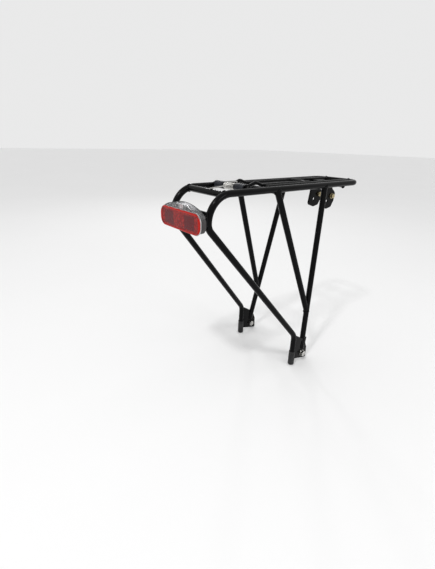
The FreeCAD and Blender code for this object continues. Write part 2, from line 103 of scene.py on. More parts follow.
# Fasteners: points round a hexagon, a washer and a thread, rows in one turn of thread, and shares
HEXAGON_POINTS = 72
WASHER_POINTS = 48
THREAD_POINTS = 36
THREAD_ROWS = 8
THREAD_DEPTH = 0.55
TURNED_OFF = 0.96

# Points round the sleeves and caps, round the wire, and along one turn of it
MOULDED_POINTS = 56
WIRE_POINTS = 14
TURN_POINTS = 28

# Lamp: points nearer than this are one point
SAME_POINT = 0.001 * MM


# Reading the frame

def node_points(node):
    """All corners of a CAD node's mesh as an array of rows x, y, z."""
    mesh = frame["nodes"][node].data
    points = np.empty(len(mesh.vertices) * 3)
    mesh.vertices.foreach_get("co", points)
    return points.reshape(-1, 3)


def node_box(node):
    """Lowest and highest corner of a CAD node as arrays."""
    low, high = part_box(node)
    return np.array(low), np.array(high)


def left_box(node):
    """Lowest and highest corner of the part of a CAD node that lies on the left of the middle plane."""
    points = node_points(node)
    left = points[points[:, 1] > 0]
    return left.min(0), left.max(0)


def across_bar(node):
    """Axis point, direction and radius of a round bar that runs along Y, from its box."""
    low, high = node_box(node)
    return (low + high) / 2, Y_AXIS, (high[0] - low[0]) / 2


def straight_bar(node):
    """Axis point, direction and radius of a straight round bar.

    The direction is the one that the side faces' normals avoid: the smallest eigenvector of the sum of
    area times normal times normal, found again from the faces that stand square to it. The axis point
    and the radius are the least-squares circle through those faces' centres, seen along the direction.
    """
    mesh = frame["nodes"][node].data
    count = len(mesh.polygons)
    normals, centres, areas = np.empty(count * 3), np.empty(count * 3), np.empty(count)
    mesh.polygons.foreach_get("normal", normals)
    mesh.polygons.foreach_get("center", centres)
    mesh.polygons.foreach_get("area", areas)
    normals, centres = normals.reshape(-1, 3), centres.reshape(-1, 3)
    keep = np.ones(count, bool)
    for _ in range(FIT_ROUNDS):
        weighted = (normals[keep].T * areas[keep]) @ normals[keep]
        direction = np.linalg.eigh(weighted)[1][:, 0]
        keep = np.abs(normals @ direction) < SQUARE_ENOUGH
    side, other = square_to(direction)
    corners = node_points(node)
    flat = np.stack([centres[keep] @ side, centres[keep] @ other], 1)
    table = np.column_stack([2 * flat, np.ones(len(flat))])
    a, b, c = np.linalg.lstsq(table, (flat ** 2).sum(1), rcond=None)[0]
    along = corners @ direction
    middle = side * a + other * b + direction * (along.min() + along.max()) / 2
    return middle, direction, math.sqrt(c + a * a + b * b)


def square_to(direction):
    """Two unit vectors square to a direction and to each other."""
    direction = np.asarray(direction, float)
    helper = Z_AXIS if abs(direction[2]) < 0.9 * np.linalg.norm(direction) else X_AXIS
    side = np.cross(direction, helper)
    side /= np.linalg.norm(side)
    other = np.cross(side, direction)
    return side, other / np.linalg.norm(other)


# Surfaces

def ring_angles(count):
    """Evenly spaced angles round a full turn."""
    return np.arange(count) * (FULL_TURN / count)


def turned(profile, origin, axis, count=40, outline=None):
    """A profile of (height, radius) pairs carried round an axis.

    A point at height h and angle a is origin + h * axis + radius * (cos a * side + sin a * other). An
    outline may replace the round radius by a function of radius, height and angle.
    """
    side, other = square_to(axis)
    angles = ring_angles(count)
    heights = np.array([pair[0] for pair in profile])[:, None]
    radii = np.array([pair[1] for pair in profile])[:, None] * np.ones((1, count))
    if outline is not None:
        radii = outline(radii, heights, angles[None, :])
    ring = side * np.cos(angles)[:, None] + other * np.sin(angles)[:, None]
    return np.asarray(origin) + heights[..., None] * np.asarray(axis) + radii[..., None] * ring


def swept(path, radii, up, count=12, closed=False):
    """A round section carried along a path: path point + radius * (cos a * side + sin a * other).

    Side is square to the path's tangent and to the up vector, and other is square to both.
    """
    if closed:
        tangents = np.roll(path, -1, 0) - np.roll(path, 1, 0)
    else:
        tangents = np.gradient(path, axis=0)
    tangents /= np.linalg.norm(tangents, axis=1, keepdims=True)
    side = np.cross(tangents, up)
    side /= np.linalg.norm(side, axis=1, keepdims=True)
    other = np.cross(side, tangents)
    angles = ring_angles(count)
    around = side[:, None] * np.cos(angles)[:, None] + other[:, None] * np.sin(angles)[:, None]
    return path[:, None] + np.broadcast_to(radii, len(path))[:, None, None] * around


def signed_volume(corners, faces):
    """Six times the volume inside the faces: the sum of a . (b x c) over their triangles a, b, c."""
    total = 0.0
    for group in faces:
        first = corners[group[:, 0]]
        for index in range(1, group.shape[1] - 1):
            total += (first * np.cross(corners[group[:, index]], corners[group[:, index + 1]])).sum()
    return total


def surface(grid, closed=False):
    """Corners and faces of a grid whose rows are rings.

    Closed joins the last ring to the first, and otherwise a point in the middle of each end ring closes
    it. The faces are turned to point outwards.
    """
    rows, count = grid.shape[:2]
    corners = grid.reshape(-1, 3)
    row = np.arange(rows if closed else rows - 1)[:, None]
    column = np.arange(count)[None, :]
    after, ahead = (row + 1) % rows * count, (column + 1) % count
    quads = np.stack([row * count + column, row * count + ahead, after + ahead, after + column], -1)
    faces = [quads.reshape(-1, 4)]
    if not closed:
        ends = np.arange(count)
        first, last = len(corners), len(corners) + 1
        corners = np.vstack([corners, grid[0].mean(0), grid[-1].mean(0)])
        tail = (rows - 1) * count
        faces.append(np.stack([np.roll(ends, -1), ends, np.full(count, first)], -1))
        faces.append(np.stack([tail + ends, tail + np.roll(ends, -1), np.full(count, last)], -1))
    if signed_volume(corners, faces) < 0:
        faces = [group[:, ::-1] for group in faces]
    return corners, faces


def new_piece(name, surfaces, material, body, slot, replaced=(), sharp=35):
    """Joins surfaces into one mesh object, smooth but for edges sharper than the given angle."""
    offset, corners, faces = 0, [], []
    for points, groups in surfaces:
        corners.append(points)
        for group in groups:
            faces += (group + offset).tolist()
        offset += len(points)
    mesh = bpy.data.meshes.new(name)
    mesh.from_pydata(np.vstack(corners).tolist(), [], faces)
    mesh.shade_smooth()
    mesh.set_sharp_from_angle(angle=math.radians(sharp))
    mesh.materials.append(material)
    piece = bpy.data.objects.new(name, mesh)
    bpy.context.scene.collection.objects.link(piece)
    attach(piece, body)
    if replaced:
        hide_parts(*replaced)
    return piece


def finish_nodes(names, material):
    """Gives CAD nodes a material."""
    for name in names:
        node = frame["nodes"][name]
        node.data.materials.clear()
        node.data.materials.append(material)


# Node groups that several materials use

def tree_node(tree, kind, values=None, **settings):
    """A shader node with its settings and its sockets' values; a value that is a socket is linked."""
    node = tree.nodes.new(kind)
    for key, value in settings.items():
        setattr(node, key, value)
    for key, value in (values or {}).items():
        if isinstance(value, bpy.types.NodeSocket):
            tree.links.new(value, node.inputs[key])
        else:
            node.inputs[key].default_value = value
    return node


def math_node(tree, operation, first, second=0.5):
    """The output of a Math node."""
    return tree_node(tree, "ShaderNodeMath", {0: first, 1: second}, operation=operation).outputs[0]


def product(tree, *values):
    """The product of two or more values."""
    result = values[0]
    for value in values[1:]:
        result = math_node(tree, "MULTIPLY", result, value)
    return result


def new_group(name, inputs, outputs):
    """An empty shader node group with named float inputs and outputs, and its two end nodes."""
    group = bpy.data.node_groups.new(name, "ShaderNodeTree")
    for socket_name, default in inputs.items():
        socket = group.interface.new_socket(socket_name, in_out="INPUT", socket_type="NodeSocketFloat")
        socket.default_value = default
    for socket_name in outputs:
        group.interface.new_socket(socket_name, in_out="OUTPUT", socket_type="NodeSocketFloat")
    return group, group.nodes.new("NodeGroupInput"), group.nodes.new("NodeGroupOutput")


def object_coordinates(tree):
    """The object's own coordinates, in metres."""
    return tree_node(tree, "ShaderNodeTexCoord").outputs["Object"]


def noise(tree, scale, detail=3.0, vector=None):
    """A noise value over the object's coordinates."""
    values = {"Vector": vector or object_coordinates(tree), "Scale": scale, "Detail": detail}
    return tree_node(tree, "ShaderNodeTexNoise", values).outputs["Fac"]


def spread(tree, value, low, high, to_low, to_high):
    """Maps a value from one range to another and stops it at the ends."""
    values = {"Value": value, "From Min": low, "From Max": high, "To Min": to_low, "To Max": to_high}
    return tree_node(tree, "ShaderNodeMapRange", values).outputs["Result"]


def mottle_group():
    """Slow cloudy variation between a low and a high value."""
    group, given, result = new_group("mottle", {"Scale": 60.0, "Low": 0.2, "High": 0.4}, ["Value"])
    cloud = noise(group, given.outputs["Scale"])
    value = spread(group, cloud, 0.35, 0.65, given.outputs["Low"], given.outputs["High"])
    group.links.new(value, result.inputs["Value"])
    return group


def peel_group():
    """The fine ripple of sprayed paint or moulded plastic, as a height."""
    group, given, result = new_group("peel", {"Scale": 700.0, "Pits": 0.3}, ["Height"])
    ripple = noise(group, given.outputs["Scale"], 2.0)
    fine = noise(group, product(group, given.outputs["Scale"], 4.0), 2.0)
    pits = product(group, fine, given.outputs["Pits"])
    group.links.new(math_node(group, "ADD", ripple, pits), result.inputs["Height"])
    return group


def scuff_group():
    """Short scratches along the piece and rubbed spots, as a mask from 0 to 1."""
    group, given, result = new_group("scuffs", {"Scale": 90.0, "Amount": 0.3}, ["Mask"])
    mapping = {"Vector": object_coordinates(group), "Scale": (1, 9, 9)}
    stretched = tree_node(group, "ShaderNodeMapping", mapping).outputs["Vector"]
    lines = noise(group, given.outputs["Scale"], 5.0, stretched)
    thin = spread(group, lines, 0.63, 0.7, 0.0, 1.0)
    where = spread(group, noise(group, 14.0), 0.5, 0.62, 0.0, 1.0)
    group.links.new(product(group, thin, where, given.outputs["Amount"]), result.inputs["Mask"])
    return group


def dust_group():
    """Fine dust that settles on what faces upwards, as a mask from 0 to 1."""
    group, given, result = new_group("dust", {"Amount": 0.2}, ["Mask"])
    normal = tree_node(group, "ShaderNodeNewGeometry").outputs["Normal"]
    up = tree_node(group, "ShaderNodeSeparateXYZ", {"Vector": normal}).outputs["Z"]
    facing = spread(group, up, 0.2, 1.0, 0.0, 1.0)
    patches = spread(group, noise(group, 120.0, 6.0), 0.4, 0.7, 0.1, 1.0)
    group.links.new(product(group, facing, patches, given.outputs["Amount"]), result.inputs["Mask"])
    return group


GROUP_MAKERS = {"mottle": mottle_group, "peel": peel_group, "scuffs": scuff_group, "dust": dust_group}


def use_group(tree, name, **values):
    """The first output of a shared group, which is made the first time that it is used."""
    group = bpy.data.node_groups.get(name) or GROUP_MAKERS[name]()
    node = tree.nodes.new("ShaderNodeGroup")
    node.node_tree = group
    for key, value in values.items():
        node.inputs[key.capitalize()].default_value = value
    return node.outputs[0]


def mottled(tree, scale, low, high):
    """Slow cloudy variation from the shared group."""
    return use_group(tree, "mottle", scale=scale, low=low, high=high)


def new_material(name):
    """A material with a Principled shader and nothing else but its output."""
    material = bpy.data.materials.new(name + FINISH)
    material.use_nodes = True
    shader = material.node_tree.nodes["Principled BSDF"]
    return material, material.node_tree, shader


def finish_of(slot):
    """The finish made for a material slot."""
    return bpy.data.materials[slot + FINISH]


def blended(tree, mask, first, second):
    """A colour between two colours."""
    node = tree_node(tree, "ShaderNodeMix", {"Factor": mask}, data_type="RGBA")
    for index, colour in ((6, first), (7, second)):
        if isinstance(colour, bpy.types.NodeSocket):
            tree.links.new(colour, node.inputs[index])
        else:
            node.inputs[index].default_value = (*colour[:3], 1.0)
    return node.outputs[2]


def bumped(tree, shader, height, strength, distance):
    """Feeds a height to the shader's normal."""
    values = {"Height": height, "Strength": strength, "Distance": distance}
    tree.links.new(tree_node(tree, "ShaderNodeBump", values).outputs["Normal"], shader.inputs["Normal"])


def peeled(tree, shader, scale, pits, strength, distance):
    """Feeds the shared group's fine ripple to the shader's normal."""
    bumped(tree, shader, use_group(tree, "peel", scale=scale, pits=pits), strength, distance)


def feed(tree, shader, **sockets):
    """Links or sets the shader's sockets, named with underscores for spaces."""
    for key, value in sockets.items():
        socket = shader.inputs[key.replace("_", " ")]
        if isinstance(value, bpy.types.NodeSocket):
            tree.links.new(value, socket)
        else:
            socket.default_value = value


def enamel(name, colour, rubbed, gloss_low, gloss_high, dust=0.03):
    """Sprayed enamel: a deep colour with orange peel, rubbed streaks and a little dust on top."""
    material, tree, shader = new_material(name)
    scuffs = use_group(tree, "scuffs", scale=90.0, amount=0.55)
    dusty = use_group(tree, "dust", amount=dust)
    base = blended(tree, scuffs, colour, rubbed)
    base = blended(tree, dusty, base, (0.12, 0.115, 0.105))
    rough = mottled(tree, 45.0, gloss_low, gloss_high)
    for mask, extra in ((scuffs, 0.25), (dusty, 0.5)):
        rough = math_node(tree, "ADD", rough, product(tree, mask, extra))
    feed(tree, shader, Base_Color=base, Roughness=rough, Specular_IOR_Level=0.09)
    peeled(tree, shader, 650.0, 0.2, 0.12, 0.0004)
    return material


def plated(name, colour, tint, rough_low, rough_high):
    """Zinc plate: metal with cloudy colour, fine drawing lines and small stains."""
    material, tree, shader = new_material(name)
    cloud = mottled(tree, 220.0, 0.0, 1.0)
    scuffs = use_group(tree, "scuffs", scale=300.0, amount=0.6)
    base = blended(tree, cloud, colour, tint)
    base = blended(tree, scuffs, base, [0.6 * value for value in colour])
    rough = mottled(tree, 160.0, rough_low, rough_high)
    feed(tree, shader, Base_Color=base, Roughness=rough, Metallic=1.0)
    peeled(tree, shader, 1600.0, 0.6, 0.15, 0.0002)
    return material


def moulded(name, colour, worn, rough_low, rough_high, coat=0.0):
    """Moulded plastic: a fine skin, cloudy gloss and paler rubbed spots."""
    material, tree, shader = new_material(name)
    scuffs = use_group(tree, "scuffs", scale=160.0, amount=0.5)
    cloud = mottled(tree, 90.0, 0.0, 0.35)
    base = blended(tree, math_node(tree, "MAXIMUM", scuffs, cloud), colour, worn)
    rough = mottled(tree, 130.0, rough_low, rough_high)
    feed(tree, shader, Base_Color=base, Roughness=rough, Specular_IOR_Level=0.25, Coat_Weight=coat,
         Coat_Roughness=0.12)
    peeled(tree, shader, 1800.0, 0.8, 0.25, 0.0003)
    return material


def axis_value(tree, name):
    """One of the object's coordinates, in metres."""
    return tree_node(tree, "ShaderNodeSeparateXYZ", {"Vector": object_coordinates(tree)}).outputs[name]


def band(tree, value, low, high, soft):
    """A mask that is 1 while a value lies between two limits, with soft ends."""
    rise = spread(tree, value, low - soft, low + soft, 0.0, 1.0)
    return product(tree, rise, spread(tree, value, high - soft, high + soft, 1.0, 0.0))


def triangle_wave(tree, value, pitch):
    """A value that rises from 0 to a half and falls again over each pitch."""
    return math_node(tree, "PINGPONG", math_node(tree, "DIVIDE", value, pitch), 0.5)


def prism_height(tree, pitch):
    """A field of small pyramids: the smaller of two triangle waves across the lamp's face."""
    across, upward = (triangle_wave(tree, axis_value(tree, name), pitch) for name in ("Y", "Z"))
    return math_node(tree, "MINIMUM", across, upward)


def lens_material(settings):
    """Red lamp plastic: a raised rim painted brighter as a highlight, a field of fine prisms with painted glints,
    and a darker reflector on each side with painted shade in the grooves between its prisms.
    """
    material, tree, shader = new_material("red_lens")
    low, high = node_box("lamp_lens")
    prism_low, prism_high = left_box("lamp_prisms")
    across = math_node(tree, "ABSOLUTE", axis_value(tree, "Y"))
    height = axis_value(tree, "Z")
    soft = 0.4 * MM
    reflector = product(tree, band(tree, across, prism_low[1], prism_high[1], soft),
                        band(tree, height, prism_low[2], prism_high[2], soft))
    rim = settings.rim_width
    field = product(tree, band(tree, height, low[2] + rim, high[2] - rim, soft),
                    spread(tree, across, high[1] - rim, high[1] - 2 * rim, 0.0, 1.0))
    prisms = prism_height(tree, settings.prism_pitch)
    # Random bright red spots over the middle of the field: painted glints of the prisms.
    painted_glints = spread(tree, noise(tree, 420.0, 5.0), 0.45, 0.62, 0.0, 1.0)
    middle = blended(tree, painted_glints, (0.16, 0.006, 0.007), (0.36, 0.018, 0.016))
    # In the reflectors the grooves between the prisms are darker than their tips: painted shade in the grooves.
    prism_shade = spread(tree, prisms, 0.1, 0.4, 0.0, 1.0)
    dark = blended(tree, prism_shade, (0.085, 0.006, 0.009), (0.17, 0.012, 0.016))
    base = blended(tree, reflector, middle, dark)
    # The rim's brighter red is a painted highlight on the raised rim.
    base = blended(tree, field, settings.rim_highlight_colour, base)
    rough = mottled(tree, 200.0, 0.12, 0.28)
    feed(tree, shader, Base_Color=base, Roughness=rough, Specular_IOR_Level=0.15, Coat_Weight=0.05,
         Coat_Roughness=0.05)
    bumped(tree, shader, product(tree, prisms, field), 0.5, 0.0006)
    return material


def clear_material(settings):
    """Clear plastic with a faint haze and a row of ribs towards each side, whose darker stripes along the ribs are
    painted shade.
    """
    material, tree, shader = new_material("clear_cover")
    haze = mottled(tree, 150.0, 0.02, 0.07)
    cloud = mottled(tree, 80.0, 0.0, 1.0)
    across = math_node(tree, "ABSOLUTE", axis_value(tree, "Y"))
    start = settings.rib_start
    ribs = product(tree, triangle_wave(tree, across, settings.rib_pitch),
                   spread(tree, across, start, start + MM, 0.0, 1.0))
    base = blended(tree, cloud, (0.90, 0.90, 0.91), (0.80, 0.80, 0.82))
    # The ribs darken the colour in stripes: painted shade along the ribs.
    base = blended(tree, ribs, base, (0.55, 0.55, 0.57))
    feed(tree, shader, Base_Color=base, Roughness=haze, Transmission_Weight=0.92, IOR=1.2)
    bumped(tree, shader, ribs, 0.3, 0.0006)
    return material


def trim_highlight_material():
    """Clear plastic seen edge on, painted pale grey as a highlight along the lens's edge."""
    material, tree, shader = new_material("clear_trim")
    cloud = mottled(tree, 240.0, 0.0, 1.0)
    # Pale grey with random cloudy tone: a painted highlight on the clear edge.
    base = blended(tree, cloud, (0.60, 0.58, 0.57), (0.40, 0.38, 0.38))
    rough = mottled(tree, 200.0, 0.15, 0.3)
    feed(tree, shader, Base_Color=base, Roughness=rough)
    peeled(tree, shader, 900.0, 0.3, 0.1, 0.0002)
    return material


def board_material():
    """A grey circuit board: solder mask with faint tracks."""
    material, tree, shader = new_material("circuit_board")
    track_pitch = 2.4 * MM
    lines = spread(tree, triangle_wave(tree, axis_value(tree, "Y"), track_pitch), 0.06, 0.1, 1.0, 0.0)
    broken = spread(tree, noise(tree, 260.0, 1.0), 0.48, 0.5, 0.0, 1.0)
    mask = product(tree, lines, broken)
    base = blended(tree, mask, (0.20, 0.20, 0.19), (0.34, 0.34, 0.32))
    rough = mottled(tree, 140.0, 0.3, 0.45)
    feed(tree, shader, Base_Color=base, Roughness=rough)
    bumped(tree, shader, mask, 0.3, 0.0001)
    return material


def resin_material():
    """Milky resin of a small light, a little pink, with a cloudy core."""
    material, tree, shader = new_material("led_resin")
    cloud = mottled(tree, 500.0, 0.0, 1.0)
    base = blended(tree, cloud, (0.95, 0.78, 0.77), (0.98, 0.90, 0.88))
    rough = mottled(tree, 300.0, 0.06, 0.16)
    feed(tree, shader, Base_Color=base, Roughness=rough, Coat_Weight=0.5)
    peeled(tree, shader, 900.0, 0.1, 0.05, 0.0002)
    return material


def floor_material(colour):
    """A matt pale floor with a very faint grain."""
    material, tree, shader = new_material("studio_floor")
    cloud = mottled(tree, 2.0, 0.0, 0.3)
    base = blended(tree, cloud, colour, [0.97 * value for value in colour])
    feed(tree, shader, Base_Color=base, Roughness=0.75, Specular_IOR_Level=0.1)
    return material


# Weld beads

def meeting_curve(bar, other, count=96):
    """The closed curve where one round bar's skin enters another's.

    A line on the first bar's skin, parallel to its axis, is at distance R from the other bar's axis
    where a quadratic in the way along the line is zero. The root nearer the first bar's middle is kept.
    """
    middle, direction, radius = bar
    point, way, other_radius = other
    side, up = square_to(direction)
    angles = ring_angles(count)[:, None]
    starts = middle + radius * (np.cos(angles) * side + np.sin(angles) * up)
    slope = np.cross(direction, way)
    offset = np.cross(starts - point, way)
    a = slope @ slope
    b = 2 * offset @ slope
    c = (offset ** 2).sum(1) - other_radius ** 2
    root = np.sqrt(np.maximum(b * b - 4 * a * c, 0))
    near, far = (-b - root) / (2 * a), (-b + root) / (2 * a)
    along = np.where(np.abs(near) < np.abs(far), near, far)
    return starts + along[:, None] * direction


def bead(path, up, radius, ripple, closed):
    """A weld bead: a round section along the path whose radius ripples once per drop of weld metal.

    The radius is r * (1 + depth * cos(drops * a)). An open bead tapers to its ends as a blunt ellipse.
    """
    drops = max(3, round(np.linalg.norm(np.diff(path, axis=0), axis=1).sum() / ripple))
    share = np.linspace(0, 1, len(path), endpoint=not closed)
    radii = radius * (1 + RIPPLE_DEPTH * np.cos(FULL_TURN * drops * share))
    if not closed:
        radii = radii * np.sqrt(np.clip(1 - (2 * share - 1) ** TAPER_POWER, TAPER_LEAST, 1))
    return surface(swept(path, radii, up, closed=closed), closed=closed)


def line(start, end, count=40):
    """Evenly spaced points from start to end."""
    share = np.linspace(0, 1, count)[:, None]
    return np.asarray(start) * (1 - share) + np.asarray(end) * share


def arc(centre, radius, angles, y):
    """Points round a bar that runs along Y: centre + radius * (cos a, 0, sin a), all at one y."""
    return np.stack([centre[0] + radius * np.cos(angles), np.full(len(angles), y),
                     centre[2] + radius * np.sin(angles)], 1)


def rail(side):
    """The straight rail on one side as a bar."""
    mount = MOUNTS["rail_left"]
    place = np.array(mount["pos_m"]) * np.array([1, side, 1])
    return place, X_AXIS, mount["dims"]["r_mm"] * MM


def mirrored(points, side):
    """The points, or their mirror image across the middle plane when side is -1."""
    return points * np.array([1, side, 1])


def outer_half(bar, side):
    """A cross bar's axis moved to one side's half, so that its middle is nearer that side's rail."""
    middle, direction, radius = bar
    return middle + 0.5 * rail(side)[0][1] * Y_AXIS, direction, radius


def rear_bend_at(side):
    """The hoop's rear bend as a straight bar that touches its centre line where the rear cross bar ends.

    With a and b the cross bar's distances from the upright's line and from the rail's line, the bend's
    radius R solves (a - R)^2 + (b - R)^2 = R^2, and the bar's way is square to the spoke.
    """
    place, _, radius = rail(side)
    bar = across_bar("rear_cross_bar")[0]
    upright = node_box("deck_hoop")[0][0] + radius
    a, b = bar[0] - upright, place[2] - bar[2]
    bend = a + b + math.sqrt(2 * a * b)
    spoke = np.array([bar[0] - upright - bend, 0, bar[2] - place[2] + bend])
    return np.array([bar[0], place[1], bar[2]]), np.cross(spoke, Y_AXIS) / bend, radius


def deck_seams():
    """Where the deck's bars meet: the cross bars with the rails, and the inner rods with all they touch.

    As in every function of seams, each row is a path, its up vector, a share of the full bead and
    whether the path is closed.
    """
    for side in SIDES.values():
        crossings = [(name, rail(side)) for name in CROSS_BARS] + [("rear_cross_bar", rear_bend_at(side))]
        for name, other in crossings:
            yield meeting_curve(outer_half(across_bar(name), side), other), Y_AXIS, 1.0, True
    place, _, radius = rail(1)
    front = np.array([node_box("deck_hoop")[1][0] - radius, 0, place[2]]), Y_AXIS, radius
    angles = math.pi / 2 - np.linspace(-TACK_HALF_ANGLE, TACK_HALF_ANGLE, 30)
    for rod in ("inner_rod_left", "inner_rod_right"):
        low, high = node_box(rod)
        rod_radius = (high[1] - low[1]) / 2
        middle = np.array([front[0][0] - 4 * radius, (low[1] + high[1]) / 2, high[2] - rod_radius])
        yield meeting_curve((middle, X_AXIS, rod_radius), front), X_AXIS, ROD_SHARE, True
        for name in CROSS_BARS:
            centre, _, bar_radius = across_bar(name)
            for edge in (-1, 1):
                path = arc(centre, bar_radius, angles, middle[1] + edge * rod_radius)
                yield path, Y_AXIS, TACK_SHARE, False


def strut_seams():
    """The struts' tops under the rails, and where each middle strut meets a front strut."""
    for name, side in SIDES.items():
        front = straight_bar("front_strut_" + name)
        middle = straight_bar("middle_strut_" + name)
        for bar, other in ((front, rail(side)), (middle, rail(side)), (middle, front)):
            yield meeting_curve(bar, other), bar[1], 1.0, True


def foot_seams():
    """Lines along the leg and along the strut on both faces of each foot plate.

    On a face at distance f from a bar's axis, a bar of radius r shows a line at sqrt(r^2 - f^2).
    """
    low, high = left_box("foot_left")
    radius = rail(1)[2]
    reach = math.sqrt(radius ** 2 - ((high[1] - low[1]) / 2) ** 2)
    skin = node_box("rear_leg_left")[1][0] - radius + reach
    cap_top = node_box("leg_cap_left")[1][2]
    middle, direction, _ = straight_bar("front_strut_left")
    bottom = node_box("front_strut_left")[0][2]
    square = np.cross(direction, Y_AXIS)
    square /= np.linalg.norm(square)
    for side in SIDES.values():
        for face in (low[1], high[1]):
            path = line((skin, face, cap_top + 2 * MM), (skin, face, high[2] - 1.5 * MM))
            yield mirrored(path, side), Y_AXIS, 1.0, False
            for edge, top in STRUT_BEAD_TOPS.items():
                ends = []
                for height in (bottom, bottom + top * (high[2] - bottom)):
                    along = (height - middle[2]) / direction[2]
                    point = middle + along * direction + edge * reach * square
                    ends.append((point[0], face, point[2]))
                yield mirrored(line(*ends), side), Y_AXIS, 1.0, False


def bracket_seams():
    """Arcs where each ear wraps the bracket's cross bar, and lines down the lamp plate's two ends."""
    centre, _, radius = across_bar("bracket_cross_bar")
    angles = -np.linspace(-EAR_OVERRUN, math.pi + EAR_OVERRUN, 60)
    for name in SIDES:
        low, high = node_box("bracket_ear_" + name)
        for face in (low[1], high[1]):
            yield arc(centre, radius, angles, face), Y_AXIS, EDGE_SHARE, False
    low, high = node_box("lamp_plate")
    for side in SIDES.values():
        place, _, bar_radius = rail(side)
        upright = node_box("deck_hoop")[0][0] + bar_radius
        reach = math.sqrt(bar_radius ** 2 - (upright - high[0]) ** 2)
        for y in (place[1] - reach, place[1] + reach):
            yield line((high[0], y, low[2] + MM), (high[0], y, high[2] - MM)), Y_AXIS, EDGE_SHARE, False


SEAMS = {
    "deck_welds": deck_seams,
    "strut_welds": strut_seams,
    "foot_welds": foot_seams,
    "bracket_welds": bracket_seams,
}


# Fasteners

def hexagon_outline(flats, height, tip_slope=1.7):
    """A hexagon with its corners turned off at both ends.

    The side's distance is half the flats over the cosine of the angle from the side's middle. A cone
    at each end limits it, starting from a circle a little smaller than the flats.
    """
    def outline(radii, heights, angles):
        side = flats / 2 / np.cos((angles + math.pi / 6) % (math.pi / 3) - math.pi / 6)
        start = TURNED_OFF * flats / 2
        cone = start + tip_slope * np.minimum(heights, height - heights)
        return np.where(radii >= flats / 2, np.minimum(side, np.maximum(cone, start)), radii)
    return outline


def bolt_head(seat, axis, flats, height):
    """A hexagonal head on its seat: flat sides, turned-off corners and a shallow dish in the top."""
    wide = flats / 2
    levels = np.concatenate([np.linspace(0, 0.2, 6), np.linspace(0.25, 0.8, 4), np.linspace(0.84, 1, 6)])
    profile = [(0, 0.5 * wide)] + [(level * height, wide) for level in levels]
    dish = 0.92 * height
    profile += [(height, 0.86 * wide), (height, 0.62 * wide), (dish, 0.52 * wide), (dish, 0.2 * wide)]
    return surface(turned(profile, seat, axis, HEXAGON_POINTS, hexagon_outline(flats, height)))


def threaded_rod(start, axis, length, radius, pitch):
    """A thread: the radius drops by a triangle wave of height over pitch minus the share of a turn."""
    heights = np.linspace(0, length, int(length / pitch * THREAD_ROWS) + 2)

    def outline(radii, levels, angles):
        wave = np.abs(((levels / pitch - angles / FULL_TURN) % 1) - 0.5) * 2
        ends = np.clip((length - levels) / (0.6 * pitch), 0, 1)
        return radii - THREAD_DEPTH * pitch * (wave * ends + (1 - ends))
    return surface(turned([(h, radius) for h in heights], start, axis, THREAD_POINTS, outline))


def nut(seat, axis, flats, height, bore):
    """A hexagonal nut with turned-off corners and a countersunk bore."""
    wide = flats / 2
    profile = [(0.1 * height, bore), (0, bore + 0.08 * wide), (0, 0.93 * wide)]
    profile += [(level * height, wide) for level in np.linspace(0.0, 1.0, 15)]
    profile += [(height, 0.93 * wide), (height, bore + 0.08 * wide), (0.9 * height, bore)]
    outline = hexagon_outline(flats, height)
    return surface(turned(profile, seat, axis, HEXAGON_POINTS, outline), closed=True)


def washer(seat, axis, outer, bore, height):
    """A flat washer with one rounded edge, as stamping leaves it."""
    edge = 0.3 * height
    nick = 0.3 * edge
    profile = [(0, bore), (0, outer - nick), (nick, outer), (height - edge, outer),
               (height - nick, outer - nick), (height, outer - edge),
               (height, bore + 0.5 * edge), (height - 0.5 * edge, bore)]
    return surface(turned(profile, seat, axis, WASHER_POINTS), closed=True)


def fastener_sets():
    """For each bolted joint: its place, its axis, its nodes and the boxes of their left solids."""
    for place, axis_index, bolt in (("foot", 1, "bolts"), ("bracket", 1, "bolts"), ("lamp", 0, "studs")):
        names = [place + "_" + kind for kind in (bolt, "washers", "nuts")]
        yield place, axis_index, names, [left_box(name) for name in names]


def fastener_surfaces(axis_index, boxes, side, settings):
    """The surfaces of one bolt, washer and nut.

    Bolts at the feet and the bracket point towards the middle plane with the head outside. The lamp's
    studs point forward, with the washer and the nut in front of the plate.
    """
    (bolt_low, bolt_high), (washer_low, washer_high), (nut_low, nut_high) = boxes
    centre = (nut_low + nut_high) / 2
    sign = -1.0 if axis_index == 0 else 1.0
    axis = np.eye(3)[axis_index] * np.array([1, side, 1]) * sign

    def at(level):
        point = centre.copy()
        point[axis_index] = level
        return mirrored(point, side)

    across = [i for i in range(3) if i != axis_index]
    flats = (nut_high - nut_low)[across].min()
    washer_r = (washer_high - washer_low)[across[0]] / 2
    nut_height = nut_high[axis_index] - nut_low[axis_index]
    washer_height = washer_high[axis_index] - washer_low[axis_index]
    shank_r = settings.shank_share * flats
    if axis_index == 0:
        disc = [(0, 0.3 * flats), (0, 0.48 * flats), (0.4 * MM, 0.5 * flats)]
        head = surface(turned(disc, at(bolt_low[0]), -axis))
        length = bolt_high[0] - nut_low[0]
        bolt = [head, threaded_rod(at(nut_low[0]), -axis, length, shank_r, settings.thread_pitch)]
        nuts = nut(at(nut_low[0]), -axis, flats, nut_height, shank_r)
        return bolt, washer(at(washer_low[0]), -axis, washer_r, shank_r, washer_height), nuts
    seat = washer_high[1]
    bolt = [bolt_head(at(seat), axis, flats, bolt_high[1] - seat)]
    bolt.append(threaded_rod(at(seat), -axis, seat - bolt_low[1], shank_r, settings.thread_pitch))
    nuts = nut(at(nut_high[1]), -axis, flats, nut_height, shank_r)
    return bolt, washer(at(washer_low[1]), axis, washer_r, shank_r, washer_height), nuts


# Clamp

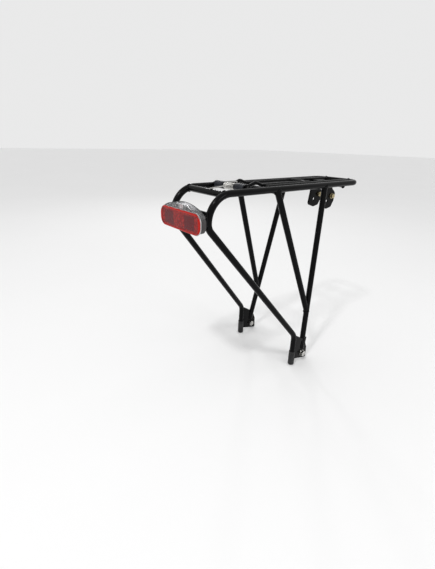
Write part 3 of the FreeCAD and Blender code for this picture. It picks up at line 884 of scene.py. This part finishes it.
def sleeve_profile(length, outer, bore):
    """A sleeve's section: rounded ends, a wide part where the wire enters and shallow grooves."""
    groove, band_r = 0.9 * outer, 0.97 * outer
    steps = [(0.00, 0.93 * outer), (0.03, 0.98 * outer), (0.06, outer), (0.46, outer), (0.49, groove),
             (0.56, groove), (0.58, band_r), (0.66, band_r), (0.68, groove), (0.75, groove),
             (0.77, band_r), (0.88, band_r), (0.90, outer), (0.97, outer), (1.00, 0.95 * outer)]
    rows = [(0.0, bore)] + steps + [(1.0, bore)]
    return [(share * length, radius) for share, radius in rows]


def spring_surfaces(settings):
    """The spring's winding with its rear leg, and its front leg.

    The winding is a helix round the hinge: hinge + r * (cos a, 0, sin a), with Y falling evenly from
    the left end to the right as a turns back from straight up. Each leg leaves along the wire.
    """
    hinge = np.array(frame["joints"][0]["pos_m"])
    points = node_points("clamp_spring")
    low, high = node_box("clamp_spring")
    radius = settings.wire_radius
    coil_r = high[2] - hinge[2] - radius
    near = points[np.abs(points[:, 0] - hinge[0]) < coil_r + radius]
    start_y = near[:, 1].max() - radius
    end_y = near[:, 1].min() + radius
    rear = node_box("rear_cross_bar")
    reach = hinge[0] - (rear[0][0] + rear[1][0]) / 2
    drop = math.atan((hinge[2] + coil_r - rear[1][2] - radius) / reach)
    turns = settings.turns + drop / FULL_TURN
    share = np.linspace(0, 1, int(turns * TURN_POINTS))[:, None]
    angle = math.pi / 2 + share * turns * FULL_TURN
    circle = np.hstack([np.cos(angle), 0 * angle, np.sin(angle)])
    winding = hinge * [1, 0, 1] + coil_r * circle + (start_y + share * (end_y - start_y)) * Y_AXIS
    way = coil_r * turns * FULL_TURN * np.hstack([-np.sin(angle), 0 * angle, np.cos(angle)])
    way += (end_y - start_y) * Y_AXIS
    way /= np.linalg.norm(way, axis=1, keepdims=True)
    rear_length = (hinge[0] - low[0]) / math.cos(drop)
    tail = winding[-1] + np.linspace(0, rear_length, 30)[1:, None] * way[-1]
    path = np.vstack([winding, tail])
    ahead = winding[0] - np.linspace(0, high[0] - hinge[0], 20)[:, None] * way[0]
    return [surface(swept(wire, radius, Y_AXIS, WIRE_POINTS)) for wire in (path, ahead)]


# Leg caps

def cap_profile(height, outer, bore, floor):
    """A leg cap's section: a closed end rounded as a quarter circle, a waist and a lip at the top."""
    waist, groove = 0.985 * outer, 0.955 * outer
    profile = [(floor, 0.3 * bore), (floor, bore), (height - 0.4 * MM, bore), (height, bore + 0.25 * MM),
               (height - 0.3 * MM, outer), (height - 2.2 * MM, outer), (height - 2.5 * MM, groove),
               (height - 5 * MM, groove), (height - 5.3 * MM, waist), (floor, waist)]
    for angle in np.linspace(0, math.pi / 2, 8)[1:-1]:
        profile.append((floor * (1 - math.sin(angle)), waist - floor * (1 - math.cos(angle))))
    return profile + [(0, 0.5 * outer)]


# Lamp

def rounded_ring(half_width, low, high, corner, count=24):
    """A rectangle with round corners in Y and Z, as one ring of points.

    Each corner is a quarter circle of the given radius, and the straight sides join them.
    """
    corner = max(corner, 0.2 * MM)
    right, top, bottom = half_width - corner, high - corner, low + corner
    y, z = np.repeat([[right, -right, -right, right], [top, top, bottom, bottom]], count, axis=1)
    angle = np.tile(np.linspace(0, math.pi / 2, count), 4) + np.repeat(np.arange(4), count) * math.pi / 2
    return np.stack([y + corner * np.cos(angle), z + corner * np.sin(angle)], 1)


def lens_surface(settings):
    """The lens as one closed shell: side wall, rounded edge, raised rim, sunk field, and its hollow back.

    Each ring is the lamp's outline drawn in by an inset, at one depth. Inside the field the rings
    shrink towards the middle, and the field is crowned by a cosine of the share of the way out.
    """
    low, high = node_box("lamp_lens")
    corner = settings.corner_radius
    rim, sunk, skin = settings.rim_width, settings.rim_height, settings.skin
    middle = np.array([0, (low[2] + high[2]) / 2])
    front, back = low[0], high[0]

    def ring(inset, x, share=1.0):
        flat = rounded_ring(high[1] - inset, low[2] + inset, high[2] - inset, corner - inset)
        flat = middle + (flat - middle) * share
        return np.column_stack([np.full(len(flat), x), flat])

    crown, edge, hollow = 0.25 * sunk, settings.edge_radius, rim + 0.3 * MM
    rings = [ring(rim + 0.5 * MM, front + sunk - crown * math.cos(share * math.pi / 2), share)
             for share in (0.05, 0.3, 0.55, 0.8, 1.0)]
    rings += [ring(rim, front + crown), ring(0.86 * rim, front), ring(0.6 * rim, front)]
    rings += [ring(edge * (1 - math.sin(angle)), front + edge * (1 - math.cos(angle)))
              for angle in np.linspace(0, math.pi / 2, 7)]
    rings += [ring(0, back), ring(hollow, back)]
    rings += [ring(hollow, front + skin, share) for share in (1.0, 0.05)]
    return surface(np.array(rings))


def trim_surface(settings):
    """The clear edge round the lens where it meets the housing: a thin round bead on the outline."""
    low, high = node_box("lamp_lens")
    outline = rounded_ring(high[1], low[2], high[2], settings.corner_radius)
    keep = np.linalg.norm(outline - np.roll(outline, 1, 0), axis=1) > SAME_POINT
    outline = outline[keep]
    path = np.column_stack([np.full(len(outline), high[0]), outline])
    return surface(swept(path, settings.trim_radius, X_AXIS, 10, closed=True), closed=True)


# Settings that a user may change

def length_setting(name, description, default):
    """A length in metres."""
    return bpy.props.FloatProperty(name=name, description=description, default=default, unit="LENGTH")


def share_setting(name, description, default):
    """A share from 0 to 1."""
    return bpy.props.FloatProperty(name=name, description=description, default=default, subtype="FACTOR")


def vector_setting(name, description, default, subtype, unit="NONE"):
    """Three numbers."""
    return bpy.props.FloatVectorProperty(
        name=name, description=description, default=default, size=3, subtype=subtype, unit=unit)


def colour_setting(name, description, default):
    """A colour."""
    return vector_setting(name, description, default, "COLOR")


class RackPaintSettings(bpy.types.PropertyGroup):
    """Colour and gloss of the enamel."""
    colour: colour_setting("Enamel", "Colour of the bars", (0.0016, 0.0016, 0.0019))
    rubbed: colour_setting("Rubbed", "Colour of rubbed streaks", (0.03, 0.03, 0.032))
    gloss_low: share_setting("Smoothest", "Roughness where the paint is smoothest", 0.11)
    gloss_high: share_setting("Roughest", "Roughness where the paint is dullest", 0.22)


class RackWeldSettings(bpy.types.PropertyGroup):
    """Size of the weld beads."""
    radius: length_setting("Bead radius", "Radius of a bead's section", 1.35 * MM)
    ripple: length_setting("Ripple", "Length of one drop of weld metal", 1.7 * MM)


class RackFastenerSettings(bpy.types.PropertyGroup):
    """Thread and plating of the bolts."""
    thread_pitch: length_setting("Thread pitch", "Distance between two thread crests", 0.8 * MM)
    shank_share: share_setting("Shank share", "Thread radius as a share of the width across flats", 0.3)
    zinc: colour_setting("Zinc", "Colour of bright zinc plate", (0.42, 0.42, 0.41))
    yellow_zinc: colour_setting("Yellow zinc", "Colour of yellow zinc plate", (0.46, 0.38, 0.20))


class RackClampSettings(bpy.types.PropertyGroup):
    """Wire and winding of the clamp's spring, and the sleeves."""
    wire_radius: length_setting("Wire radius", "Radius of the spring's wire", 0.9 * MM)
    turns: bpy.props.IntProperty(name="Turns", description="Full turns of the spring", default=12)
    sleeve_wall: length_setting("Sleeve wall", "Thickness of a sleeve", 2.7 * MM)
    sleeve_colour: colour_setting("Sleeves", "Colour of the sleeves", (0.008, 0.010, 0.015))


class RackCapSettings(bpy.types.PropertyGroup):
    """Walls and colour of the caps on the legs."""
    wall: length_setting("Wall", "Thickness of a cap's wall", 0.8 * MM)
    floor: length_setting("Floor", "Thickness of a cap's closed end", 2.5 * MM)
    colour: colour_setting("Caps", "Colour of the caps", (0.011, 0.011, 0.012))


class RackLampSettings(bpy.types.PropertyGroup):
    """Shape and colour of the lamp's lens and cover."""
    corner_radius: length_setting("Corner radius", "Radius of the lens's outline", 12 * MM)
    rim_width: length_setting("Rim width", "Width of the raised rim", 2.6 * MM)
    rim_height: length_setting("Rim height", "How far the field is sunk", 0.8 * MM)
    edge_radius: length_setting("Edge radius", "Rounding of the front edge", 1.6 * MM)
    skin: length_setting("Skin", "Depth of the lens's front wall", 2.0 * MM)
    trim_radius: length_setting("Trim radius", "Radius of the clear edge round the lens", 0.75 * MM)
    prism_pitch: length_setting("Prism pitch", "Distance between two prisms", 1.3 * MM)
    rib_pitch: length_setting("Rib pitch", "Distance between two ribs in the clear cover", 2.6 * MM)
    rib_start: length_setting("Rib start", "Where the ribs start, from the middle", 17 * MM)
    # The rim colour is a painted highlight on the lens's raised rim.
    rim_highlight_colour: colour_setting("Rim colour", "Colour of the lens's rim", (0.42, 0.008, 0.004))


class RackStageSettings(bpy.types.PropertyGroup):
    """Floor, light and camera."""
    floor_colour: colour_setting("Floor", "Colour of the floor", (0.90, 0.90, 0.90))
    floor_size: length_setting("Floor size", "Width of the floor", 30.0)
    camera_place: vector_setting(
        "Camera", "Where the camera stands", (-0.4726, -0.4006, 0.3709), "TRANSLATION", "LENGTH")
    camera_turn: vector_setting(
        "Camera turn", "Heading, pitch and roll of the camera",
        (math.radians(51.381), math.radians(-22.927), math.radians(-1.438)), "EULER", "ROTATION")
    lens: bpy.props.FloatProperty(name="Lens", description="Focal length in millimetres", default=21.3)
    world_strength: bpy.props.FloatProperty(
        name="World", description="Strength of the even light", default=0.82)


# Operators, one for each piece or group of like pieces

# Each row: the lamp's node, its slot, its colour, its worn colour, its roughness from and to, its coat
LAMP_PLASTICS = (
    ("lamp_reflector", "reflector_white", (0.92, 0.82, 0.81), (0.82, 0.72, 0.71), 0.1, 0.2),
    ("lamp_housing", "lamp_black", (0.030, 0.027, 0.028), (0.10, 0.09, 0.09), 0.2, 0.36, 0.2),
    ("lamp_inlet", "inlet_rubber", (0.012, 0.012, 0.012), (0.04, 0.04, 0.04), 0.6, 0.8),
    ("lamp_chips", "chip_black", (0.01, 0.01, 0.011), (0.03, 0.03, 0.03), 0.4, 0.55),
    ("lamp_prisms", "dark_red_prism", (0.16, 0.006, 0.008), (0.3, 0.02, 0.02), 0.2, 0.3, 0.4),
)

# Camera: width of its sensor in millimetres, and the nearest distance that it sees in metres
SENSOR_WIDTH = 36.0
NEAREST_SEEN = 0.01

# Each row: the light's name, its place, its width in metres and its power in watts
SOFT_LIGHTS = (
    ("key", (-0.9, -0.3, 1.5), 0.12, 6.5),
    ("fill", (0.4, -1.5, 0.9), 0.4, 3.0),
    ("rim", (0.7, 1.4, 1.1), 0.15, 2.5),
)


class RACK_OT_paint(bpy.types.Operator):
    """Paint the bars, the feet, the ears, the clamp's wire and the lamp's plate"""
    bl_idname = "rack.paint"
    bl_label = "Paint the bars"

    def execute(self, context):
        paint = context.scene.rack_paint
        slots = {row["node"]: row["material_slot"] for row in frame["record"]["subparts"]}
        for slot, duller_low, duller_high in (("black_enamel", 0.0, 0.0), ("black_steel", 0.08, 0.1)):
            material = enamel(slot, paint.colour, paint.rubbed, paint.gloss_low + duller_low,
                              paint.gloss_high + duller_high)
            finish_nodes([node for node, name in slots.items() if name == slot], material)
        return {"FINISHED"}


class RACK_OT_welds(bpy.types.Operator):
    """Add the weld beads between the bars, the feet, the ears and the lamp's plate"""
    bl_idname = "rack.welds"
    bl_label = "Weld beads"

    def execute(self, context):
        welds = context.scene.rack_welds
        material = finish_of("black_enamel")
        for name, seams in SEAMS.items():
            beads = [bead(path, up, share * welds.radius, welds.ripple, closed)
                     for path, up, share, closed in seams()]
            new_piece(name, beads, material, "frame", "black_enamel")
        return {"FINISHED"}


class RACK_OT_fasteners(bpy.types.Operator):
    """Make the bolts, washers and nuts"""
    bl_idname = "rack.fasteners"
    bl_label = "Bolts, washers and nuts"

    def execute(self, context):
        settings = context.scene.rack_fasteners
        zinc = plated("zinc_steel", settings.zinc, (0.60, 0.59, 0.56), 0.2, 0.38)
        yellow = plated("yellow_zinc", settings.yellow_zinc, (0.56, 0.49, 0.33), 0.25, 0.45)
        for place, axis_index, names, boxes in fastener_sets():
            slot, material = ("zinc_steel", zinc) if place == "foot" else ("yellow_zinc", yellow)
            made = [fastener_surfaces(axis_index, boxes, side, settings) for side in SIDES.values()]
            groups = [made[0][0] + made[1][0], [made[0][1], made[1][1]], [made[0][2], made[1][2]]]
            for name, surfaces in zip(names, groups):
                new_piece(name + "_made", surfaces, material, "frame", slot, [name], 30)
        return {"FINISHED"}


class RACK_OT_clamp(bpy.types.Operator):
    """Make the clamp's sleeves and its spring"""
    bl_idname = "rack.clamp"
    bl_label = "Spring clamp"

    def execute(self, context):
        settings = context.scene.rack_clamp
        zinc = finish_of("zinc_steel")
        plastic = moulded("sleeve_plastic", settings.sleeve_colour, (0.026, 0.030, 0.040), 0.32, 0.5)
        for name, side in SIDES.items():
            node = "clamp_sleeve_" + name
            low, high = node_box(node)
            outer = (high[0] - low[0]) / 2
            length = high[1] - low[1]
            start = (low + high) / 2 * [1, 0, 1] + (low[1] if side > 0 else high[1]) * Y_AXIS
            profile = sleeve_profile(length, outer, outer - settings.sleeve_wall)
            shape = surface(turned(profile, start, side * Y_AXIS, MOULDED_POINTS), closed=True)
            new_piece("sleeve_" + name, [shape], plastic, "clamp", "sleeve_plastic", [node], 28)
        coil, leg = spring_surfaces(settings)
        new_piece("spring_winding", [coil], zinc, "frame", "zinc_steel", ["clamp_spring"])
        new_piece("spring_front_leg", [leg], zinc, "clamp", "zinc_steel", ["clamp_spring"])
        return {"FINISHED"}


class RACK_OT_leg_caps(bpy.types.Operator):
    """Make the plastic caps on the ends of the legs"""
    bl_idname = "rack.leg_caps"
    bl_label = "Leg caps"

    def execute(self, context):
        caps = context.scene.rack_caps
        material = moulded("cap_plastic", caps.colour, (0.05, 0.05, 0.05), 0.4, 0.6)
        for name in SIDES:
            node = "leg_cap_" + name
            low, high = node_box(node)
            outer = (high[0] - low[0]) / 2
            profile = cap_profile(high[2] - low[2], outer, outer - caps.wall, caps.floor)
            centre = (low + high) / 2 * [1, 1, 0] + low[2] * Z_AXIS
            shape = surface(turned(profile, centre, Z_AXIS, MOULDED_POINTS))
            new_piece("cap_" + name, [shape], material, "frame", "cap_plastic", [node], 30)
        return {"FINISHED"}


class RACK_OT_lamp(bpy.types.Operator):
    """Make the lens and finish the lamp's other parts"""
    bl_idname = "rack.lamp"
    bl_label = "Rear lamp"

    def execute(self, context):
        settings = context.scene.rack_lamp
        red = lens_material(settings)
        new_piece("lens", [lens_surface(settings)], red, "frame", "red_lens", ["lamp_lens"], 40)
        finish_nodes(["lamp_cover"], clear_material(settings))
        # The trim's pale grey is a painted highlight on the clear edge round the lens.
        new_piece("lens_trim", [trim_surface(settings)], trim_highlight_material(), "frame", "clear_cover")
        finish_nodes(["lamp_board"], board_material())
        finish_nodes(["lamp_led", "lamp_diodes"], resin_material())
        for node, *finish in LAMP_PLASTICS:
            finish_nodes([node], moulded(*finish))
        return {"FINISHED"}


class RACK_OT_stage(bpy.types.Operator):
    """Set the floor, the soft light and the camera"""
    bl_idname = "rack.stage"
    bl_label = "Stage"

    def execute(self, context):
        stage = context.scene.rack_stage
        half = stage.floor_size / 2
        level = cad_box[0][2]
        mesh = bpy.data.meshes.new("floor")
        corners = [(-half, -half, level), (half, -half, level), (half, half, level), (-half, half, level)]
        mesh.from_pydata(corners, [], [(0, 1, 2, 3)])
        mesh.materials.append(floor_material(stage.floor_colour))
        floor = bpy.data.objects.new("floor", mesh)
        context.scene.collection.objects.link(floor)
        floor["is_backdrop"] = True
        world = bpy.data.worlds.new("studio")
        world.use_nodes = True
        backdrop = world.node_tree.nodes["Background"].inputs
        backdrop["Color"].default_value = (1.0, 1.0, 1.0, 1.0)
        backdrop["Strength"].default_value = stage.world_strength
        context.scene.world = world
        target = Vector((cad_box[0] + cad_box[1]) / 2)
        for name, place, size, power in SOFT_LIGHTS:
            light = bpy.data.lights.new(name, "AREA")
            light.size = size
            light.energy = power
            holder = bpy.data.objects.new(name, light)
            holder.location = place
            holder.rotation_euler = (target - Vector(place)).to_track_quat("-Z", "Y").to_euler()
            context.scene.collection.objects.link(holder)
        self.add_camera(context, stage)
        context.scene.view_settings.view_transform = "Standard"
        return {"FINISHED"}

    def add_camera(self, context, stage):
        """Adds a camera that looks along heading and pitch and then rolls about its forward way."""
        heading, pitch, roll = stage.camera_turn
        level = math.cos(pitch)
        forward = Vector((math.cos(heading) * level, math.sin(heading) * level, math.sin(pitch)))
        right = Vector((math.sin(heading), -math.cos(heading), 0))
        down = forward.cross(right)
        rolled = right * math.cos(roll) + down * math.sin(roll)
        up = right * math.sin(roll) - down * math.cos(roll)
        turn = Matrix((rolled, up, -forward)).transposed()
        data = bpy.data.cameras.new("camera")
        data.sensor_width = SENSOR_WIDTH
        data.lens = stage.lens
        data.clip_start = NEAREST_SEEN
        camera = bpy.data.objects.new("camera", data)
        camera.matrix_world = Matrix.Translation(Vector(stage.camera_place)) @ turn.to_4x4()
        context.scene.collection.objects.link(camera)
        context.scene.camera = camera


STEPS = (RACK_OT_paint, RACK_OT_welds, RACK_OT_fasteners, RACK_OT_clamp, RACK_OT_leg_caps, RACK_OT_lamp,
         RACK_OT_stage)
SETTINGS = {
    "rack_paint": RackPaintSettings,
    "rack_welds": RackWeldSettings,
    "rack_fasteners": RackFastenerSettings,
    "rack_clamp": RackClampSettings,
    "rack_caps": RackCapSettings,
    "rack_lamp": RackLampSettings,
    "rack_stage": RackStageSettings,
}


class RACK_PT_looks(bpy.types.Panel):
    """The rack's steps and settings"""
    bl_label = "Rear rack"
    bl_idname = "RACK_PT_looks"
    bl_space_type = "VIEW_3D"
    bl_region_type = "UI"
    bl_category = "Rack"

    def draw(self, context):
        for step in STEPS:
            self.layout.operator(step.bl_idname)
        for name, settings in SETTINGS.items():
            box = self.layout.box()
            for key in settings.__annotations__:
                box.prop(getattr(context.scene, name), key)


def register():
    """Makes the classes known to Blender and gives the scene its settings."""
    for cls in (*SETTINGS.values(), *STEPS, RACK_PT_looks):
        bpy.utils.register_class(cls)
    for name, settings in SETTINGS.items():
        setattr(bpy.types.Scene, name, bpy.props.PointerProperty(type=settings))


def unregister():
    """Takes back what register did."""
    for name in SETTINGS:
        delattr(bpy.types.Scene, name)
    for cls in reversed((*SETTINGS.values(), *STEPS, RACK_PT_looks)):
        bpy.utils.unregister_class(cls)


def main():
    """Registers the add-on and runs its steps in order."""
    register()
    bpy.ops.rack.paint()
    bpy.ops.rack.welds()
    bpy.ops.rack.fasteners()
    bpy.ops.rack.clamp()
    bpy.ops.rack.leg_caps()
    bpy.ops.rack.lamp()
    bpy.ops.rack.stage()
    named = (("cad", cad_box), ("visual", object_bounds()))
    boxes = {name: [list(corner) for corner in box] for name, box in named}


if __name__ == "__main__":
    main()
